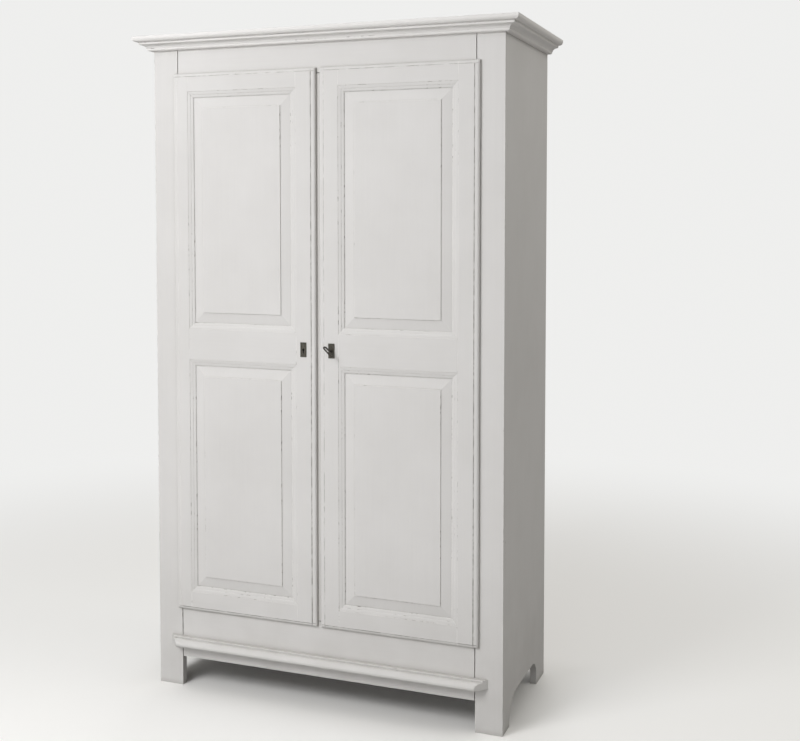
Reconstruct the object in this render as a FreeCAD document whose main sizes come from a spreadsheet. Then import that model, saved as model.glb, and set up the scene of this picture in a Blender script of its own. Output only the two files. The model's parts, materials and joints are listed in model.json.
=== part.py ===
"""A painted two-door wardrobe with lipped, raised-and-fielded doors.

The part stands on the floor with its back towards +Y and +Z up. Its origin is
the bottom centre of its bounding box. All lengths are in millimetres.
"""
import FreeCAD, Part
import math
import os
import Sketcher

Vector = FreeCAD.Vector

# Driving dimensions, each written once
SIZES = {
    # Carcass
    "body_width": 1100,
    "body_depth": 482,
    "total_height": 1983.5,
    "side_thickness": 20,
    "stile_width": 80,
    "stile_thickness": 22,
    "rail_foot": 90.5,
    "rail_height": 165.5,
    "frieze_height": 118,
    "rail_gap": 2.4,
    "tenon_length": 30,
    "tenon_thickness": 8,
    "tenon_shoulder": 12,
    "tongue_thickness": 8,
    "tongue_length": 8,
    "joint_slack": 0.2,
    "overrun": 5,
    # Arch cut between the feet of each side
    "front_foot": 69,
    "arch_height": 80,
    "rear_foot": 96,
    "rear_shoulder": 50,
    # Cornice
    "cornice_height": 41,
    "cornice_overhang": 48.5,
    "cornice_rise": 8.5,
    # Moulding across the bottom rail
    "moulding_foot": 129,
    "moulding_height": 26,
    "moulding_depth": 32,
    "moulding_reach": 37.5,
    # Boards and battens of the inside
    "board_thickness": 18,
    "floor_drop": 6,
    "batten_width": 20,
    "batten_height": 30,
    "back_thickness": 10,
    "back_rebate": 10,
    "back_joint": 1,
    "back_tongue_length": 5,
    "back_tongue_thickness": 3.4,
    "hat_space_height": 317,
    "shelf_setback": 40,
    # Clothes rail
    "clothes_rail_drop": 90,
    "clothes_rail_radius": 12.5,
    "socket_width": 56,
    "socket_height": 70,
    "socket_thickness": 18,
    # Doors
    "meeting_gap": 11,
    "meeting_offset": 5,
    "side_lap": 11,
    "end_lap": 14,
    "side_clearance": 3,
    "end_clearance": 2.5,
    "door_stand": 12.6,
    "door_thickness": 23,
    "lip_stand": 0.8,
    "quirk_inset": 16,
    "end_quirk_inset": 11,
    "quirk_step": 2,
    "quirk_width": 2.8,
    "right_hinge_stile_face": 60.5,
    "right_meeting_stile_face": 60.5,
    "left_hinge_stile_face": 52,
    "left_meeting_stile_face": 62.5,
    "bottom_rail_face": 59,
    "lock_rail_face": 94,
    "top_rail_face": 55,
    "lock_rail_foot": 1012.5,
    "sticking_width": 18.5,
    "sticking_depth": 5.6,
    "groove_front": 6.2,
    "groove_width": 8,
    "groove_depth": 10,
    "door_tenon_length": 36,
    "door_tenon_shoulder": 6,
    "panel_slack": 1.5,
    "panel_valley": 6.5,
    "panel_tongue": 7.6,
    "bevel_width": 31,
    "field_step": 2,
    # Closing strip between the doors
    "strip_clearance": 0.5,
    # Hinges
    "hinge_length": 50,
    "hinge_pin_radius": 1.25,
    "hinge_bore_radius": 1.3,
    "pin_stand": 3,
    "frame_knuckle_radius": 3,
    "frame_knuckle_length": 16,
    "door_knuckle_radius": 2.8,
    "knuckle_gap": 0.3,
    "knuckle_relief": 3.4,
    "leaf_thickness": 1.2,
    "leaf_gap": 0.3,
    "frame_wing": 18,
    "door_wing": 9,
    # Lock, key and escutcheons
    "lock_inset": 39,
    "lock_rise": 45,
    "plate_width": 19,
    "plate_height": 42.5,
    "plate_thickness": 1.5,
    "keyhole_radius": 3.6,
    "keyhole_slot": 3.4,
    "keyhole_drop": 10,
    "case_edge": 1,
    "case_width": 66,
    "case_height": 50,
    "case_depth": 14,
    "case_wall": 1.5,
    "key_radius": 2.8,
    "key_fit": 0.05,
    "key_reach": 32,
    "key_collar_radius": 4,
    "key_collar_length": 3,
    "bow_length": 22,
    "bow_height": 40,
    "bow_wire": 2,
    "bit_radius": 9,
    "bit_thickness": 2.5,
    "bit_width": 5,
    "bit_play": 1,
    "bolt_thickness": 7,
    "bolt_tip": 2.3,
    "bolt_head_length": 23,
    "bolt_head_height": 26,
    "bolt_tail_length": 34,
    "bolt_tail_height": 10,
    "talon_width": 16,
    "talon_depth": 3,
    "talon_place": 9.5,
    "bolt_slack": 0.4,
    "keeper_length": 30,
    "keeper_edge": 1,
    "keeper_wall": 2,
    # Surface bolts of the left door
    "slide_width": 7,
    "slide_length": 95,
    "slide_inset": 31,
    "slide_fit": 0.1,
    "slide_end_gap": 6,
    "guide_width": 26,
    "guide_length": 84,
    "guide_plate": 2,
    "guide_lug": 12,
    "guide_lug_depth": 12,
    "knob_radius": 3,
    "knob_length": 10,
    "keep_plate_length": 30,
    "keep_plate_width": 14,
    "keep_plate_thickness": 1.5,
    "keep_depth": 24,
}

# Counts, and places given as shares of the piece that carries them
BACK_BOARDS = 6
HINGE_PLACE_SHARES = (0.1, 0.9)
KEY_TURN_SHARE = 1 / 8
FULL_TURN = 360

# How much of the bow's half length its round corners take, and of its half thickness its bevels
BOW_BEND_SHARE = 0.85
BOW_BEVEL_SHARE = 0.55

# Profile corners: share of the reach, share of the height and, for an arc
# that leads to the corner, the share of the reach at which its centre lies
CORNICE_SHARES = (
    (0.0, 0.0),
    (0.19, 0.0),
    (0.31, 0.19, 0.19),
    (0.33, 0.19),
    (0.62, 0.43, 0.62),
    (0.70, 0.55, 0.62),
    (0.70, 0.61),
    (0.76, 0.61),
    (1.0, 0.83, 0.76),
    (1.0, 1.0),
    (0.0, 1.0),
)
MOULDING_SHARES = (
    (0.0, 0.0),
    (0.92, 0.0),
    (1.0, 0.14),
    (1.0, 0.34),
    (0.5, 0.78, 0.5),
    (0.38, 0.78),
    (0.38, 1.0),
    (0.0, 1.0),
)
STICKING_SHARES = (
    (0.0, 0.14),
    (0.5, 0.46, 0.0),
    (0.5, 0.56),
    (0.93, 0.88, 0.5),
    (0.93, 1.0),
    (1.0, 1.0),
)

PLANES = {"x": "YZ_Plane", "y": "XZ_Plane", "z": "XY_Plane"}
QUARTER_TURN = 90
ROD_TURNS = {
    "x": FreeCAD.Rotation(Vector(0, 1, 0), QUARTER_TURN),
    "y": FreeCAD.Rotation(Vector(-1, 0, 0), QUARTER_TURN),
    "z": FreeCAD.Rotation(),
}

DOC = FreeCAD.newDocument("Wardrobe")
SHEET = DOC.addObject("Spreadsheet::Sheet", "Sizes")
NODES = []


class Length:
    """A length with the sheet expression that yields it."""

    def __init__(self, value, text):
        self.value = float(value)
        self.text = text

    def __float__(self):
        return self.value

    def __add__(self, other):
        return joined_length(self, "+", other)

    def __radd__(self, other):
        return joined_length(other, "+", self)

    def __sub__(self, other):
        return joined_length(self, "-", other)

    def __rsub__(self, other):
        return joined_length(other, "-", self)

    def __mul__(self, other):
        return joined_length(self, "*", other)

    def __rmul__(self, other):
        return joined_length(other, "*", self)

    def __truediv__(self, other):
        return joined_length(self, "/", other)

    def __neg__(self):
        return joined_length(0, "-", self)


def as_length(item):
    """Give a plain number the form of a length."""
    if isinstance(item, Length):
        return item
    return Length(item, "(%r)" % item)


def joined_length(first, sign, second):
    """Work out a length from two others, as a value and as an expression."""
    first = as_length(first)
    second = as_length(second)
    values = {
        "+": first.value + second.value,
        "-": first.value - second.value,
        "*": first.value * second.value,
        "/": first.value / second.value if second.value else 0.0,
    }
    return Length(values[sign], "(%s %s %s)" % (first.text, sign, second.text))


def fill_sheet():
    """Write the driving dimensions into the sheet, one row each."""
    for row, (name, value) in enumerate(SIZES.items(), start=1):
        SHEET.set("A%d" % row, name.replace("_", " "))
        SHEET.set("B%d" % row, str(value))
        SHEET.setAlias("B%d" % row, name)
    DOC.recompute()


def size(name):
    """Read one driving dimension from the sheet."""
    return Length(SHEET.get(name), "Sizes." + name)


def bind(piece, prop, length):
    """Tie one property of a piece to the sheet."""
    piece.setExpression(prop, as_length(length).text)


def span(side, near, far):
    """The two X faces of a piece that lies from near to far on one side."""
    if side > 0:
        return near, far
    return -far, -near


def arc_centre(first, last, letter, place):
    """The centre, known on one axis, of the arc between two points."""
    middle = (first + last) * 0.5
    chord = last - first
    if letter == "u":
        return Vector(place, middle.y - (place - middle.x) * chord.x / chord.y, 0)
    return Vector(middle.x - (place - middle.y) * chord.y / chord.x, place, 0)


def short_arc(first, last, centre):
    """The shorter arc between two points, and its two ends in walking order."""
    turn = (first - centre).cross(last - centre).z
    start, end = (first, last) if turn > 0 else (last, first)
    angles = [math.atan2(point.y - centre.y, point.x - centre.x) for point in (start, end)]
    circle = Part.Circle(centre, Vector(0, 0, 1), (start - centre).Length)
    return Part.ArcOfCircle(circle, *angles), (1, 2) if turn > 0 else (2, 1)


def tie(sketch, kind, piece, point, length):
    """Fix one coordinate of a point of the sketch to the sheet."""
    number = sketch.addConstraint(Sketcher.Constraint(kind, -1, 1, piece, point, float(length)))
    sketch.setExpression("Constraints[%d]" % number, length.text)


def draw(sketch, corners):
    """Draw a closed outline whose every corner is fixed to the sheet.

    A corner is (u, v), or (u, v, letter, place) where an arc leads to it whose
    centre lies at that place on the axis that the letter names.
    """
    corners = [tuple(part if isinstance(part, str) else as_length(part) for part in corner)
               for corner in corners]
    points = [Vector(float(corner[0]), float(corner[1]), 0) for corner in corners]
    ends = []
    for index, corner in enumerate(corners):
        if len(corner) == 2:
            sketch.addGeometry(Part.LineSegment(points[index - 1], points[index]), False)
            ends.append((1, 2))
            continue
        centre = arc_centre(points[index - 1], points[index], corner[2], float(corner[3]))
        arc, order = short_arc(points[index - 1], points[index], centre)
        sketch.addGeometry(arc, False)
        ends.append(order)
    for index, corner in enumerate(corners):
        after = (index + 1) % len(corners)
        sketch.addConstraint(
            Sketcher.Constraint("Coincident", index, ends[index][1], after, ends[after][0]))
        tie(sketch, "DistanceX", index, ends[index][1], corner[0])
        tie(sketch, "DistanceY", index, ends[index][1], corner[1])
        if len(corner) == 4:
            tie(sketch, "DistanceX" if corner[2] == "u" else "DistanceY", index, 3, corner[3])


def new_sketch(body, name, axis):
    """A sketch on the body's own plane that is square to an axis."""
    sketch = body.newObject("Sketcher::SketchObject", name)
    plane = [item for item in body.Origin.OriginFeatures if item.Role == PLANES[axis]][0]
    sketch.AttachmentSupport = [(plane, "")]
    sketch.MapMode = "FlatFace"
    return sketch


def prism(name, axis, corners, low, high):
    """Pad an outline along one axis, from low to high on that axis."""
    body = DOC.addObject("PartDesign::Body", name)
    sketch = new_sketch(body, name + "_outline", axis)
    draw(sketch, corners)
    pad = body.newObject("PartDesign::Pad", name + "_pad")
    pad.Profile = sketch
    bind(pad, "Length", high - low)
    bind(body, "Placement.Base." + axis, high if axis == "y" else low)
    return body


def block(name, x, y, z):
    """A square-cut piece: x, y and z are its lower and upper faces."""
    piece = DOC.addObject("Part::Box", name)
    for axis, prop, faces in zip("xyz", ("Length", "Width", "Height"), (x, y, z)):
        bind(piece, prop, as_length(faces[1]) - faces[0])
        bind(piece, "Placement.Base." + axis, faces[0])
    return piece


def rod(name, axis, radius, low, high, centre):
    """A round piece along one axis; centre holds its other two coordinates."""
    piece = DOC.addObject("Part::Cylinder", name)
    piece.Placement = FreeCAD.Placement(Vector(), ROD_TURNS[axis])
    bind(piece, "Radius", radius)
    bind(piece, "Height", as_length(high) - low)
    places = dict(zip([letter for letter in "xyz" if letter != axis], centre))
    places[axis] = low
    for letter, place in places.items():
        bind(piece, "Placement.Base." + letter, place)
    return piece


def joined(name, pieces):
    """Fuse pieces into one."""
    whole = DOC.addObject("Part::MultiFuse", name)
    whole.Shapes = pieces
    whole.Refine = True
    return whole


def trimmed(name, piece, waste):
    """Take the waste pieces away from a piece."""
    result = DOC.addObject("Part::Cut", name)
    result.Base = piece
    result.Tool = waste[0] if len(waste) == 1 else joined(name + "_waste", waste)
    result.Refine = True
    return result


def grouped(name, pieces):
    """Keep like pieces together as separate solids of one node."""
    group = DOC.addObject("Part::Compound", name)
    group.Links = pieces
    return group


def node(label, piece):
    """Hand a finished piece in under its name."""
    piece.Label = label
    NODES.append(piece)
    return piece


def shared_outline(shares, reach, height, put, letter):
    """Scale a profile of shares; put turns reach and height into coordinates."""
    corners = []
    for share in shares:
        corner = put(reach * share[0], height * share[1])
        if len(share) == 3:
            centre = put(reach * share[2], height * share[1])
            corner += (letter, centre["uv".index(letter)])
        corners.append(corner)
    return corners


fill_sheet()
OVER = size("overrun")

# Main planes
HALF_WIDTH = size("body_width") / 2
BACK = (size("body_depth") + size("cornice_overhang")) / 2
FACE = BACK - size("body_depth")
OPENING = HALF_WIDTH - size("stile_width")
SIDE_HEAD = size("total_height") - size("cornice_rise")
RAIL_HEAD = size("rail_foot") + size("rail_height")
FRIEZE_FOOT = SIDE_HEAD - size("frieze_height")
LOCK_HEIGHT = size("lock_rail_foot") + size("lock_rise")
INSIDE = HALF_WIDTH - size("side_thickness")
FRAME_REAR = FACE + size("stile_thickness")
BACK_FRONT = BACK - size("back_thickness")
FLOOR_HEAD = RAIL_HEAD - size("floor_drop")
FLOOR_FOOT = FLOOR_HEAD - size("board_thickness")
TOP_FOOT = SIDE_HEAD - size("board_thickness")
CORNICE_FOOT = size("total_height") - size("cornice_height")
SHELF_HEAD = TOP_FOOT - size("hat_space_height")
CLOTHES_RAIL_HEIGHT = SHELF_HEAD - size("clothes_rail_drop")

# Door planes
DOOR_FRONT = FACE - size("door_stand")
DOOR_REAR = DOOR_FRONT + size("door_thickness")
DOOR_FOOT = RAIL_HEAD - size("end_lap")
DOOR_HEAD = FRIEZE_FOOT + size("end_lap")
BODY_FOOT = RAIL_HEAD + size("end_clearance")
BODY_HEAD = FRIEZE_FOOT - size("end_clearance")
LIP_EDGE = OPENING + size("side_lap")
BODY_EDGE = OPENING - size("side_clearance")
PIN_DEPTH = size("door_stand") - size("pin_stand")
LIP_REAR = size("door_stand") - size("lip_stand")
NOSE = LIP_REAR - PIN_DEPTH
PIN_X = LIP_EDGE - NOSE
PIN_Y = FACE - size("pin_stand")
MEETING_EDGE = {
    1: size("meeting_gap") / 2 - size("meeting_offset"),
    -1: size("meeting_gap") / 2 + size("meeting_offset"),
}
SIDES = ((-1, "left"), (1, "right"))

# Heights of the hinges' middles, and how far behind the door's face their door leaves lie
HINGE_PLACES = [DOOR_FOOT + (DOOR_HEAD - DOOR_FOOT) * share for share in HINGE_PLACE_SHARES]
LEAF_FRONT = size("door_stand") - size("leaf_thickness") * 2 - size("leaf_gap")

# Lock, key and surface bolts
CASE_REAR = DOOR_REAR + size("case_depth")
CASE_INNER = CASE_REAR - size("case_wall")
BOLT_MIDDLE = (DOOR_REAR + CASE_INNER) / 2
KEY_END = DOOR_FRONT - size("plate_thickness") - size("key_reach")
SLIDE_X = -(MEETING_EDGE[-1] + size("slide_inset"))
SLIDE_Y = DOOR_REAR + (size("guide_plate") + size("guide_lug_depth")) / 2


def rail_tenons(name, foot, head):
    """The two tenons of a carcass rail, which also cut their mortises."""
    middle = FACE + size("stile_thickness") / 2
    depth = size("tenon_thickness") / 2
    heights = (foot + size("tenon_shoulder"), head - size("tenon_shoulder"))
    return {
        side: block(name + "_%s_tenon" % word,
                    span(side, OPENING - size("rail_gap"), OPENING + size("tenon_length")),
                    (middle - depth, middle + depth), heights)
        for side, word in SIDES
    }


def slide_bar(name, fit, low, high):
    """The square bar of a surface bolt, or with a fit the hole for it."""
    half = size("slide_width") / 2 + fit
    return block(name, (SLIDE_X - half, SLIDE_X + half), (SLIDE_Y - half, SLIDE_Y + half), (low, high))


def keep_waste(name, height, way):
    """The recess and hole that a surface bolt needs in a rail's edge."""
    plate = keep_plate(name + "_recess", height, way)
    deep = size("keep_depth")
    reach = (height, height + deep) if way > 0 else (height - deep, height)
    return [plate, slide_bar(name + "_hole", size("slide_fit"), *reach)]


def keep_plate(name, height, way):
    """The flush plate round the hole for a surface bolt."""
    half = size("keep_plate_length") / 2
    deep = size("keep_plate_width") / 2
    thick = size("keep_plate_thickness")
    reach = (height, height + thick) if way > 0 else (height - thick, height)
    return block(name, (SLIDE_X - half, SLIDE_X + half), (SLIDE_Y - deep, SLIDE_Y + deep), reach)


def front_frame():
    """Stiles, frieze rail and bottom rail, tenoned together."""
    bottom = rail_tenons("bottom_rail", size("rail_foot"), RAIL_HEAD)
    frieze = rail_tenons("frieze_rail", FRIEZE_FOOT, SIDE_HEAD)
    depth = (FACE, FRAME_REAR)
    edge = OPENING - size("rail_gap")
    width = (-edge, edge)
    rails = (
        ("bottom_rail", bottom, (size("rail_foot"), RAIL_HEAD), RAIL_HEAD, -1),
        ("frieze_rail", frieze, (FRIEZE_FOOT, SIDE_HEAD), FRIEZE_FOOT, 1),
    )
    for name, tenons, heights, level, way in rails:
        plank = block(name + "_plank", width, depth, heights)
        whole = joined(name + "_whole", [plank] + list(tenons.values()))
        node(name, trimmed(name, whole, keep_waste(name + "_keep", level, way)))
    for side, word in SIDES:
        name = word + "_front_stile"
        post = block(name + "_post", span(side, OPENING, HALF_WIDTH), depth, (0, SIDE_HEAD))
        groove = block(name + "_groove", tongue_faces(side),
                       (FRAME_REAR - size("tongue_length") - size("joint_slack"), FRAME_REAR),
                       (0, SIDE_HEAD))
        node(name, trimmed(name, post, [bottom[side], frieze[side], groove]))


def tongue_faces(side):
    """The X faces of the tongue that joins a side to its front stile."""
    middle = HALF_WIDTH - size("side_thickness") / 2
    half = size("tongue_thickness") / 2
    return span(side, middle - half, middle + half)


def side_panels():
    """Sides with an arch between their feet, a tongue and a back rebate."""
    arch = size("arch_height")
    front = FACE + size("front_foot")
    rear = BACK - size("rear_foot")
    shoulder = size("rear_shoulder")
    corners = [
        (FRAME_REAR, 0),
        (front, 0),
        (front + arch, arch, "u", front + arch),
        (rear - shoulder, arch),
        (rear, arch - shoulder, "u", rear - shoulder),
        (rear, 0),
        (BACK, 0),
        (BACK, SIDE_HEAD),
        (FRAME_REAR, SIDE_HEAD),
    ]
    for side, word in SIDES:
        name = word + "_side_panel"
        board = prism(name + "_board", "x", corners, *span(side, INSIDE, HALF_WIDTH))
        tongue = block(name + "_tongue", tongue_faces(side),
                       (FRAME_REAR - size("tongue_length"), FRAME_REAR), (0, SIDE_HEAD))
        rebate = block(name + "_rebate", span(side, INSIDE - OVER, INSIDE + size("back_rebate")),
                       (BACK_FRONT, BACK + OVER), (size("rail_foot"), SIDE_HEAD + OVER))
        node(name, trimmed(name, joined(name + "_whole", [board, tongue]), [rebate]))


def mitre_waste(name, side, keeps_front):
    """The waste on one side of the mitre between two lengths of cornice."""
    reach = size("cornice_overhang")
    inner = (side * (HALF_WIDTH - OVER), FACE + OVER)
    outer = (side * (HALF_WIDTH + reach + OVER), FACE - reach - OVER)
    if keeps_front:
        corner = (outer[0], inner[1])
    else:
        corner = (inner[0], outer[1])
    return prism(name, "z", [inner, outer, corner], CORNICE_FOOT - OVER, size("total_height") + OVER)


def cornice():
    """Three lengths of cornice, mitred at the front corners."""
    reach = size("cornice_overhang")
    corners = shared_outline(
        CORNICE_SHARES, reach, size("cornice_height"),
        lambda out, up: (FACE - out, CORNICE_FOOT + up), "u")
    edge = HALF_WIDTH + reach
    run = prism("front_cornice_run", "x", corners, -edge, edge)
    ends = [mitre_waste("front_cornice_%s_mitre" % word, side, True) for side, word in SIDES]
    node("front_cornice", trimmed("front_cornice", run, ends))
    for side, word in SIDES:
        name = word + "_cornice"
        corners = shared_outline(
            CORNICE_SHARES, reach, size("cornice_height"),
            lambda out, up: (side * (HALF_WIDTH + out), CORNICE_FOOT + up), "u")
        run = prism(name + "_run", "y", corners, FACE - reach, BACK)
        node(name, trimmed(name, run, [mitre_waste(name + "_mitre", side, False)]))


def bottom_moulding():
    """The moulding across the bottom rail, splayed at its ends."""
    reach = size("moulding_depth")
    foot = size("moulding_foot")
    end = OPENING + size("moulding_reach")
    corners = shared_outline(
        MOULDING_SHARES, reach, size("moulding_height"),
        lambda out, up: (FACE - out, foot + up), "u")
    run = prism("bottom_moulding_run", "x", corners, -end, end)
    waste = []
    for side, word in SIDES:
        shape = [
            (side * (end + OVER), FACE + OVER),
            (side * (end - reach - OVER), FACE - reach - OVER),
            (side * (end + OVER), FACE - reach - OVER),
        ]
        waste.append(prism("bottom_moulding_%s_splay" % word, "z", shape,
                           foot - OVER, foot + size("moulding_height") + OVER))
    node("bottom_moulding", trimmed("bottom_moulding", run, waste))


def back():
    """Tongued-and-grooved back boards, which share one node."""
    edge = INSIDE + size("back_rebate")
    pitch = edge * 2 / BACK_BOARDS
    middle = BACK - size("back_thickness") / 2
    half = size("back_tongue_thickness") / 2
    slack = size("joint_slack")
    tongue = size("back_tongue_length")
    joint = size("back_joint")
    boards = []
    for index in range(BACK_BOARDS):
        low = pitch * index - edge
        high = low + pitch
        corners = [(low, BACK_FRONT)]
        if index == BACK_BOARDS - 1:
            corners += [(high, BACK_FRONT), (high, BACK)]
        else:
            side = high - joint
            corners += [
                (side, BACK_FRONT), (side, middle - half), (side + tongue, middle - half),
                (side + tongue, middle + half), (side, middle + half), (side, BACK),
            ]
        corners.append((low, BACK))
        if index:
            deep = low + tongue
            corners += [
                (low, middle + half + slack), (deep, middle + half + slack),
                (deep, middle - half - slack), (low, middle - half - slack),
            ]
        boards.append(prism("back_board_%d" % index, "z", corners, size("rail_foot"), SIDE_HEAD))
    node("back_boards", grouped("back_boards", boards))


def inside_boards():
    """Floor, top, shelf and the battens that carry them."""
    width = (-INSIDE, INSIDE)
    depth = (FRAME_REAR, BACK_FRONT)
    batten = size("batten_width")
    tall = size("batten_height")
    shelf = SHELF_HEAD - size("board_thickness")
    shelf_depth = (FACE + size("shelf_setback"), BACK_FRONT)
    rear = (BACK_FRONT - batten, BACK_FRONT)
    node("floor_board", block("floor_board", width, depth, (FLOOR_FOOT, FLOOR_HEAD)))
    node("top_board", block("top_board", width, depth, (TOP_FOOT, SIDE_HEAD)))
    node("hat_shelf", block("hat_shelf", width, shelf_depth, (shelf, SHELF_HEAD)))
    node("lower_back_batten", block("lower_back_batten", width, rear, (FLOOR_FOOT - tall, FLOOR_FOOT)))
    node("upper_back_batten", block("upper_back_batten", width, rear, (TOP_FOOT - tall, TOP_FOOT)))
    for side, word in SIDES:
        faces = span(side, INSIDE - batten, INSIDE)
        name = word + "_floor_batten"
        node(name, block(name, faces, (FRAME_REAR, BACK_FRONT - batten), (FLOOR_FOOT - tall, FLOOR_FOOT)))
        name = word + "_shelf_batten"
        node(name, block(name, faces, shelf_depth, (shelf - tall, shelf)))


def clothes_rail():
    """A round rail held by a wooden socket at each side."""
    middle = (FRAME_REAR + BACK_FRONT) / 2
    height = CLOTHES_RAIL_HEIGHT
    radius = size("clothes_rail_radius")
    half = size("socket_width") / 2
    round_foot = height - size("socket_height") / 2 + half
    bore = rod("rail_bore", "x", radius + size("joint_slack"), -INSIDE, INSIDE, (middle, height))
    for side, word in SIDES:
        name = word + "_rail_socket"
        faces = span(side, INSIDE - size("socket_thickness"), INSIDE)
        head = block(name + "_head", faces, (middle - half, middle + half),
                     (round_foot, height + size("socket_height") / 2))
        foot = rod(name + "_foot", "x", half, *faces, (middle, round_foot))
        node(name, trimmed(name, joined(name + "_whole", [head, foot]), [bore]))
    reach = INSIDE - size("joint_slack")
    node("clothes_rail", rod("clothes_rail", "x", radius, -reach, reach, (middle, height)))


def sticking(arris, way):
    """The moulded inner edge of a door member, from face to rear."""
    width = size("sticking_width")
    path = []
    for share in STICKING_SHARES:
        corner = (arris + width * share[0] * way, size("sticking_depth") * share[1])
        if len(share) == 3:
            corner += ("across", arris + width * share[2] * way)
        path.append(corner)
    inner = arris + width * way
    bottom = inner - size("groove_depth") * way
    front = size("groove_front")
    rear = front + size("groove_width")
    path += [(inner, front), (bottom, front), (bottom, rear), (inner, rear)]
    path.append((inner, size("door_thickness")))
    return path


def backward(path):
    """Walk a path the other way; each arc stays between its two corners."""
    turned = []
    for index in reversed(range(len(path))):
        arc = path[index + 1][2:] if index + 1 < len(path) else ()
        turned.append(path[index][:2] + arc)
    return turned


def member_section(low, high, low_stuck, high_stuck):
    """The section of a door member, across it and back from the door's face."""
    section = [(low, 0), (high, 0)]
    section += sticking(high, 1) if high_stuck else [(high, size("door_thickness"))]
    section += backward(sticking(low, -1)) if low_stuck else [(low, size("door_thickness"))]
    return section


def laid(section, axis, side=1):
    """Place a section of (across, depth) corners in the plane square to an axis."""
    corners = []
    for corner in section:
        across = side * corner[0] if side < 0 else corner[0]
        depth = DOOR_FRONT + corner[1]
        placed = (across, depth) if axis == "z" else (depth, across)
        if len(corner) == 4:
            centre = side * corner[3] if side < 0 else corner[3]
            placed += ("u" if axis == "z" else "v", centre)
        corners.append(placed)
    return corners


def lip_section(edge, inward, inset, rebate, hinged):
    """The waste that leaves a door edge with its quirk, ovolo and lip."""
    step = size("quirk_step")
    ovolo = PIN_DEPTH - step
    quirk = edge + inset * inward
    beyond = edge - OVER * inward
    section = [
        (beyond, -OVER),
        (quirk, -OVER),
        (quirk, 0),
        (quirk - size("quirk_width") * inward, step),
        (edge + ovolo * inward, step),
        (edge, PIN_DEPTH, "across", edge + ovolo * inward),
    ]
    if rebate is None:
        return section + [(beyond, PIN_DEPTH)]
    if hinged:
        nose = edge + NOSE * inward
        section.append((nose, LIP_REAR, "across", nose))
    else:
        section.append((edge, LIP_REAR))
    inner = edge + rebate * inward
    rear = size("door_thickness") + OVER
    return section + [(inner, LIP_REAR), (inner, rear), (beyond, rear)]


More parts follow.
